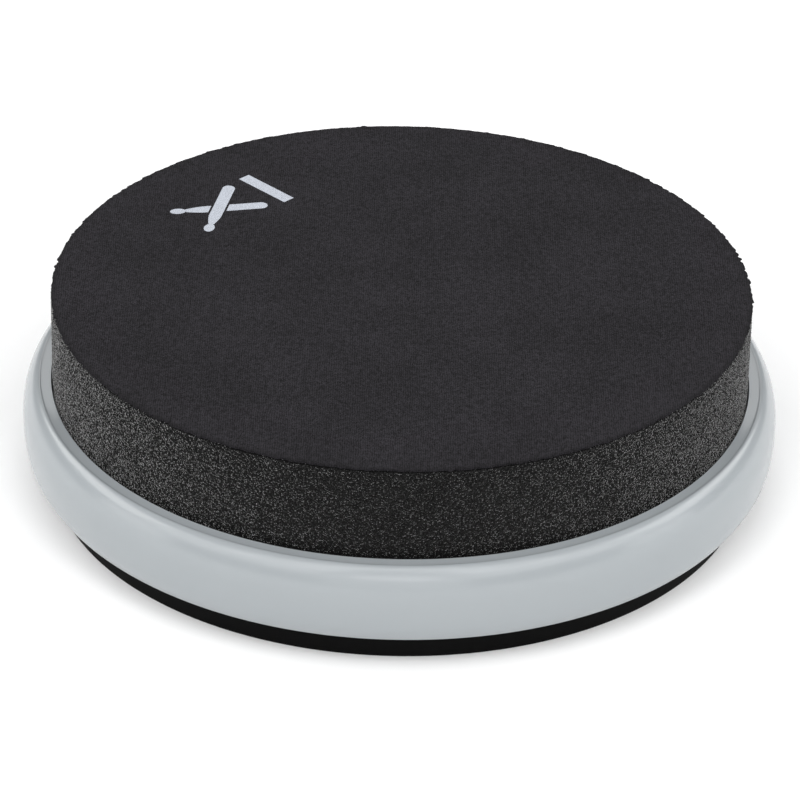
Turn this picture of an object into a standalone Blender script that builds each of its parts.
"""Practice pad: a cloth-faced foam disc set in a moulded rim, on a board, a base plate and a rubber foot.

Metres, +Z up. The origin is the centre of the underside, where the foot ring meets the floor.
Run it with: blender --background --python part.py
"""
import math

import bmesh
import bpy
from mathutils import Matrix, Vector

# Driving dimensions
SEGMENTS = 64            # facets round each big turned piece,
INSERT_SEGMENTS = 24     # round the thread insert,
BOSS_SEGMENTS = 16       # round a boss
SCREW_SEGMENTS = 12      # and round a screw
GAP = 0.0003             # clearance between pieces that touch
HEIGHT = 0.0837          # floor to playing surface
PAD_RADIUS = 0.1405      # foam and cloth
CLOTH = 0.0006           # thickness of the playing surface
BOARD = 0.012            # thickness of the backing board
SHEET = 0.003            # wall of the base plate, and of the rim's inner flange

FOOT_RADIUS = 0.141
FOOT_BORE = 0.122
FOOT_HEIGHT = 0.009
FOOT_CHAMFER = 0.0008
FOOT_GROOVES = (0.1265, 0.1325)      # inner radii of the grooves in the tread
GROOVE_WIDTH = 0.002
GROOVE_DEPTH = 0.001

RIM_CREST = (0.1459, 0.0447)         # radius and height of the outer wall's top
RIM_WIDEST = (0.1524, 0.0292)
RIM_HEM = (0.1487, 0.0126)           # the outer wall's bottom edge
CREST_HANDLE = 0.001                 # the outer wall's curve handles: out from the crest,
WIDEST_HANDLES = (0.0115, 0.0125)    # up and down from the widest point,
HEM_HANDLE = (0.0019, 0.0034)        # and out and up from the hem
RIM_LEDGE = 0.0444                   # height of the ledge round the foam
RIM_BORE = 0.1409
RIM_WALL = 0.0026
LEDGE_LIP = 0.0012                   # step from the ledge up to the crest
FLANGE_BORE = 0.126
WEB_COUNT = 12
WEB_THICKNESS = 0.002
WEB_FOOT = 0.003                     # how far the webs stay above the hem

PLATE_RADIUS = 0.1408
RIB_COUNT = 8
RIB_THICKNESS = 0.0024
HUB_RADIUS = 0.019
BOSS_RADIUS = 0.007
SPIGOT_DEPTH = 0.004                 # how far the plate reaches down inside the foot ring

SCREW_COUNT = 8
SCREW_CIRCLE = 0.108
SCREW_HEAD = 0.0037                  # radius of the pan head
SCREW_HEAD_EDGE = 0.0011             # its bevel's height
SCREW_HEAD_HEIGHT = 0.0024
SCREW_SHANK = 0.00175
SCREW_LENGTH = 0.0154                # overall
SCREW_SINK = 0.0004                  # head inside the plate's face
SCREW_POINT = 0.002                  # length of the shank's cone

INSERT_SCREW_COUNT = 3
INSERT_SCREW_CIRCLE = 0.0118
INSERT_SCREW_HEAD = 0.0027           # radius of the countersunk head
INSERT_SCREW_HEAD_HEIGHT = 0.0013
INSERT_SCREW_SHANK = 0.0014
INSERT_SCREW_LENGTH = 0.0145
INSERT_SCREW_SINK = 0.0001

RECESS_ARM = 0.0017                  # cross recess in the screw heads
RECESS_HALF_WIDTH = 0.00045
RECESS_DEPTH = 0.001
CUT_MARGIN = 0.001                   # how far a hole's tool starts below the surface it cuts

INSERT_FLANGE = 0.017
INSERT_FLANGE_THICKNESS = 0.0022
INSERT_BARREL = 0.0065
INSERT_LENGTH = 0.0192
INSERT_CHAMFER = 0.0006
THREAD_BORE = 0.0034                 # minor radius of an M8 thread

# Heights that follow from them
PLATE_BOTTOM = FOOT_HEIGHT + GAP
FLANGE_BOTTOM = PLATE_BOTTOM + SHEET + GAP
PLATE_TOP = FLANGE_BOTTOM + SHEET
BOARD_BOTTOM = PLATE_TOP + GAP
BOARD_TOP = BOARD_BOTTOM + BOARD
FOAM_BOTTOM = BOARD_TOP + GAP
FOAM_TOP = HEIGHT - CLOTH - GAP
INSERT_BOTTOM = PLATE_BOTTOM - GAP - INSERT_FLANGE_THICKNESS


def make_material(name, color, roughness, metallic=0.0):
    material = bpy.data.materials.new(name)
    material.diffuse_color = (*color, 1)
    material.use_nodes = True
    shader = material.node_tree.nodes["Principled BSDF"]
    shader.inputs["Base Color"].default_value = (*color, 1)
    shader.inputs["Roughness"].default_value = roughness
    shader.inputs["Metallic"].default_value = metallic
    return material


def finish_object(name, bm, material):
    """Turns a bmesh into an object, with its faces out and its round sides smooth."""
    bmesh.ops.recalc_face_normals(bm, faces=bm.faces)
    mesh = bpy.data.meshes.new(name)
    bm.to_mesh(mesh)
    bm.free()
    mesh.shade_smooth()
    mesh.set_sharp_from_angle(angle=math.radians(30))
    mesh.materials.append(material)
    thing = bpy.data.objects.new(name, mesh)
    bpy.context.scene.collection.objects.link(thing)
    return thing


def finish_tool(name, bm, material):
    """An object that only cuts or joins others."""
    tool = finish_object(name, bm, material)
    tool.hide_render = True
    tool.display_type = "WIRE"
    return tool


def combine(thing, tool, operation):
    modifier = thing.modifiers.new(f"{operation.lower()} {tool.name}", "BOOLEAN")
    modifier.operation = operation
    modifier.solver = "EXACT"
    modifier.object = tool


def around(count, radius, first_angle=0.0):
    """Places on a circle, each as (angle, point)."""
    for i in range(count):
        angle = first_angle + math.tau * i / count
        yield angle, Vector((radius * math.cos(angle), radius * math.sin(angle), 0))


def turn(bm, outline, segments=SEGMENTS, centre=Vector()):
    """Revolves an outline of (radius, height) points round Z. It ends on the axis, or closes on itself."""
    verts = [bm.verts.new(centre + Vector((radius, 0, height))) for radius, height in outline]
    ends_on_axis = outline[0][0] == 0 and outline[-1][0] == 0
    pairs = zip(verts, verts[1:] if ends_on_axis else verts[1:] + verts[:1])
    edges = [bm.edges.new(pair) for pair in pairs]
    bmesh.ops.spin(
        bm, geom=verts + edges, cent=centre, axis=(0, 0, 1),
        angle=math.tau, steps=segments, use_merge=True,
    )
    bmesh.ops.remove_doubles(bm, verts=bm.verts, dist=1e-6)


def turned(name, outline, material, segments=SEGMENTS):
    bm = bmesh.new()
    turn(bm, outline, segments)
    return finish_object(name, bm, material)


def extrude(bm, corners, offset):
    """A prism: the polygon through the corners, pushed out by the offset."""
    face = bm.faces.new([bm.verts.new(corner) for corner in corners])
    sweep = bmesh.ops.extrude_face_region(bm, geom=[face], use_keep_orig=True)
    moved = [item for item in sweep["geom"] if isinstance(item, bmesh.types.BMVert)]
    bmesh.ops.translate(bm, verts=moved, vec=offset)


def bezier(start, start_handle, end_handle, end, steps):
    """Points along a cubic curve, both ends included."""
    for i in range(steps + 1):
        t = i / steps
        u = 1 - t
        weights = (u ** 3, 3 * u * u * t, 3 * u * t * t, t ** 3)
        points = (start, start_handle, end_handle, end)
        yield tuple(sum(w * p[axis] for w, p in zip(weights, points)) for axis in (0, 1))


def rim_skin(inset=0.0):
    """The rim's outer wall from crest to hem, moved in by an inset."""
    crest = (RIM_CREST[0] - inset * 0.5, RIM_CREST[1] - inset)
    widest = (RIM_WIDEST[0] - inset, RIM_WIDEST[1])
    hem = (RIM_HEM[0] - inset, RIM_HEM[1])
    above = (widest[0], widest[1] + WIDEST_HANDLES[0])
    below = (widest[0], widest[1] - WIDEST_HANDLES[1])
    upper = bezier(crest, (crest[0] + CREST_HANDLE, crest[1]), above, widest, 5)
    lower = bezier(widest, below, (hem[0] + HEM_HANDLE[0], hem[1] + HEM_HANDLE[1]), hem, 3)
    return list(upper) + list(lower)[1:]


def make_rim(material):
    """Hollow moulding: outer skin, ledge, inner wall and the flange that the board sits on."""
    inner_wall = RIM_BORE + RIM_WALL
    skin = rim_skin()
    cavity = [point for point in reversed(rim_skin(RIM_WALL)) if point[0] > inner_wall + 0.0005]
    roof = cavity[-1][1]
    outline = (
        [(RIM_BORE, RIM_LEDGE), (RIM_CREST[0] - LEDGE_LIP, RIM_LEDGE)]
        + skin
        + cavity
        + [
            (inner_wall, roof),
            (inner_wall, FLANGE_BOTTOM),
            (FLANGE_BORE, FLANGE_BOTTOM),
            (FLANGE_BORE, FLANGE_BOTTOM + SHEET),
            (RIM_BORE, FLANGE_BOTTOM + SHEET),
        ]
    )
    rim = turned("rim", outline, material)
    combine(rim, make_rim_webs(material), "UNION")
    return rim


def make_rim_webs(material):
    """Upright webs that tie the rim's inner wall to its outer skin."""
    web_foot = FLANGE_BOTTOM + WEB_FOOT
    inside = RIM_BORE + RIM_WALL / 2
    skin = [point for point in rim_skin(RIM_WALL / 2) if point[1] > web_foot]
    side = [(inside, skin[0][1])] + skin + [(skin[-1][0], web_foot), (inside, web_foot)]
    bm = bmesh.new()
    for angle, _ in around(WEB_COUNT, 0, math.pi / WEB_COUNT):
        turned_to = Matrix.Rotation(angle, 3, "Z")
        corners = [turned_to @ Vector((r, -WEB_THICKNESS / 2, z)) for r, z in side]
        extrude(bm, corners, turned_to @ Vector((0, WEB_THICKNESS, 0)))
    return finish_tool("rim_webs", bm, material)


def make_foot_ring(material):
    """Rubber ring with a chamfered tread and two grooves in it."""
    tread = [(FOOT_BORE + FOOT_CHAMFER, 0)]
    for inner in FOOT_GROOVES:
        outer = inner + GROOVE_WIDTH
        tread += [(inner, 0), (inner, GROOVE_DEPTH), (outer, GROOVE_DEPTH), (outer, 0)]
    outline = [(FOOT_BORE, FOOT_HEIGHT), (FOOT_BORE, FOOT_CHAMFER)] + tread
    outline += [(FOOT_RADIUS - FOOT_CHAMFER, 0), (FOOT_RADIUS, FOOT_CHAMFER), (FOOT_RADIUS, FOOT_HEIGHT)]
    return turned("foot_ring", outline, material)


def make_base_plate(material):
    """Moulded plate: flat outer land, spigot in the foot ring, raised middle with ribs, bosses and a hub."""
    spigot_outer = FOOT_BORE - GAP
    spigot_inner = spigot_outer - SHEET
    web_bottom = PLATE_BOTTOM + SHEET + GAP
    bore = INSERT_BARREL + GAP
    outline = [
        (PLATE_RADIUS, PLATE_BOTTOM + SHEET),
        (PLATE_RADIUS, PLATE_BOTTOM),
        (spigot_outer, PLATE_BOTTOM),
        (spigot_outer, PLATE_BOTTOM - SPIGOT_DEPTH),
        (spigot_inner, PLATE_BOTTOM - SPIGOT_DEPTH),
        (spigot_inner, web_bottom),
        (HUB_RADIUS, web_bottom),
        (HUB_RADIUS, PLATE_BOTTOM),
        (bore, PLATE_BOTTOM),
        (bore, PLATE_TOP),
        (FLANGE_BORE - GAP, PLATE_TOP),
        (FLANGE_BORE - GAP, PLATE_BOTTOM + SHEET),
    ]
    plate = turned("base_plate", outline, material)
    combine(plate, make_base_ribs(material, spigot_inner + SHEET / 2, web_bottom), "UNION")
    combine(plate, make_base_bosses(material, web_bottom), "UNION")
    return plate


def make_base_ribs(material, outer, web_bottom):
    """Radial ribs on the underside, from the hub to the spigot."""
    inner = HUB_RADIUS - SHEET
    height = web_bottom + SHEET / 2 - PLATE_BOTTOM
    bm = bmesh.new()
    for angle, middle in around(RIB_COUNT, (inner + outer) / 2, math.pi / RIB_COUNT):
        middle.z = PLATE_BOTTOM + height / 2
        size = Matrix.Diagonal((outer - inner, RIB_THICKNESS, height, 1))
        place = Matrix.Translation(middle) @ Matrix.Rotation(angle, 4, "Z")
        bmesh.ops.create_cube(bm, size=1, matrix=place @ size)
    return finish_tool("base_ribs", bm, material)


def make_base_bosses(material, web_bottom):
    """A round boss for each base screw."""
    top = web_bottom + SHEET / 2
    outline = [(0, PLATE_BOTTOM), (BOSS_RADIUS, PLATE_BOTTOM), (BOSS_RADIUS, top), (0, top)]
    bm = bmesh.new()
    for _, place in around(SCREW_COUNT, SCREW_CIRCLE):
        turn(bm, outline, BOSS_SEGMENTS, place)
    return finish_tool("base_bosses", bm, material)


def make_backing_board(material):
    bore = INSERT_BARREL + GAP
    radius = PAD_RADIUS - GAP
    outline = [(bore, BOARD_BOTTOM), (radius, BOARD_BOTTOM), (radius, BOARD_TOP), (bore, BOARD_TOP)]
    return turned("backing_board", outline, material)


def make_foam_pad(material):
    outline = [(0, FOAM_BOTTOM), (PAD_RADIUS, FOAM_BOTTOM), (PAD_RADIUS, FOAM_TOP), (0, FOAM_TOP)]
    return turned("foam_pad", outline, material)


def make_playing_surface(material):
    bottom = HEIGHT - CLOTH
    outline = [(0, bottom), (PAD_RADIUS, bottom), (PAD_RADIUS, HEIGHT), (0, HEIGHT)]
    return turned("playing_surface", outline, material)


def make_thread_insert(material):
    """Flanged M8 insert, pushed up through the base plate into the board."""
    outline = [
        (THREAD_BORE + INSERT_CHAMFER, INSERT_BOTTOM),
        (INSERT_FLANGE - INSERT_CHAMFER, INSERT_BOTTOM),
        (INSERT_FLANGE, INSERT_BOTTOM + INSERT_CHAMFER),
        (INSERT_FLANGE, INSERT_BOTTOM + INSERT_FLANGE_THICKNESS),
        (INSERT_BARREL, INSERT_BOTTOM + INSERT_FLANGE_THICKNESS),
        (INSERT_BARREL, INSERT_BOTTOM + INSERT_LENGTH),
        (THREAD_BORE, INSERT_BOTTOM + INSERT_LENGTH),
        (THREAD_BORE, INSERT_BOTTOM + INSERT_CHAMFER),
    ]
    return turned("thread_insert", outline, material, INSERT_SEGMENTS)


def pan_head_screw(gap=0.0):
    """Outline of a base screw, or of the hole that clears it by a gap."""
    head, shank = SCREW_HEAD + gap, SCREW_SHANK + gap
    bottom = PLATE_BOTTOM + SCREW_SINK
    seat = bottom + SCREW_HEAD_HEIGHT + gap
    tip = bottom + SCREW_LENGTH + gap
    if gap:
        entry = [(0, PLATE_BOTTOM - CUT_MARGIN), (head, PLATE_BOTTOM - CUT_MARGIN)]
    else:
        entry = [(0, bottom), (head * 0.72, bottom), (head, bottom + SCREW_HEAD_EDGE)]
    return entry + [(head, seat), (shank, seat), (shank, tip - SCREW_POINT), (0, tip)]


def countersunk_screw(gap=0.0):
    """Outline of an insert screw, or of the hole that clears it by a gap."""
    head, shank = INSERT_SCREW_HEAD + gap, INSERT_SCREW_SHANK + gap
    bottom = INSERT_BOTTOM + INSERT_SCREW_SINK
    neck = bottom + INSERT_SCREW_HEAD_HEIGHT
    tip = bottom + INSERT_SCREW_LENGTH + gap
    if gap:
        entry = [(0, INSERT_BOTTOM - CUT_MARGIN), (head, INSERT_BOTTOM - CUT_MARGIN)]
    else:
        entry = [(0, bottom)]
    return entry + [(head, bottom), (shank, neck), (shank, tip - SCREW_POINT), (0, tip)]


def make_screws(name, outline, count, circle, material):
    """Identical screws on a circle, which share a mesh with a cross recess in its head."""
    bm = bmesh.new()
    turn(bm, outline, SCREW_SEGMENTS)
    pattern = finish_object(f"{name}_pattern", bm, material)
    cross = bmesh.new()
    start = outline[0][1] - RECESS_DEPTH / 2
    extrude(cross, cross_corners(start), Vector((0, 0, RECESS_DEPTH * 1.5)))
    recess = finish_tool(f"{name}_recess", cross, material)
    combine(pattern, recess, "DIFFERENCE")
    depsgraph = bpy.context.evaluated_depsgraph_get()
    mesh = bpy.data.meshes.new_from_object(pattern.evaluated_get(depsgraph))
    bpy.data.objects.remove(pattern)
    bpy.data.objects.remove(recess)
    for i, (_, place) in enumerate(around(count, circle)):
        screw = bpy.data.objects.new(f"{name}_{i + 1}", mesh)
        screw.location = place
        bpy.context.scene.collection.objects.link(screw)


def cross_corners(height):
    """The twelve corners of a plus sign on the Z axis."""
    arm, half = RECESS_ARM, RECESS_HALF_WIDTH
    quarter = [(arm, -half), (arm, half), (half, half)]
    for i in range(4):
        for x, y in quarter:
            yield Matrix.Rotation(i * math.pi / 2, 3, "Z") @ Vector((x, y, height))


def make_screw_holes(name, outline, count, circle, material):
    bm = bmesh.new()
    for _, place in around(count, circle):
        turn(bm, outline, SCREW_SEGMENTS, place)
    return finish_tool(name, bm, material)


def build():
    for thing in list(bpy.data.objects):
        bpy.data.objects.remove(thing)

    black_plastic = make_material("black_plastic", (0.012, 0.012, 0.013), 0.5)
    steel = make_material("zinc_steel", (0.62, 0.63, 0.65), 0.35, 1.0)

    make_playing_surface(make_material("playing_cloth", (0.034, 0.032, 0.037), 0.9))
    make_foam_pad(make_material("black_foam", (0.013, 0.013, 0.013), 0.95))
    make_rim(make_material("rim_plastic", (0.44, 0.47, 0.50), 0.38))
    make_foot_ring(make_material("foot_rubber", (0.01, 0.01, 0.01), 0.6))
    board = make_backing_board(make_material("fibreboard", (0.36, 0.24, 0.14), 0.8))
    plate = make_base_plate(black_plastic)
    insert = make_thread_insert(steel)

    make_screws("base_screw", pan_head_screw(), SCREW_COUNT, SCREW_CIRCLE, steel)
    make_screws(
        "insert_screw", countersunk_screw(), INSERT_SCREW_COUNT, INSERT_SCREW_CIRCLE, steel
    )
    base_holes = make_screw_holes(
        "base_screw_holes", pan_head_screw(GAP), SCREW_COUNT, SCREW_CIRCLE, steel
    )
    insert_holes = make_screw_holes(
        "insert_screw_holes", countersunk_screw(GAP), INSERT_SCREW_COUNT, INSERT_SCREW_CIRCLE, steel
    )
    for thing in (plate, board):
        combine(thing, base_holes, "DIFFERENCE")
    for thing in (plate, board, insert):
        combine(thing, insert_holes, "DIFFERENCE")


build()
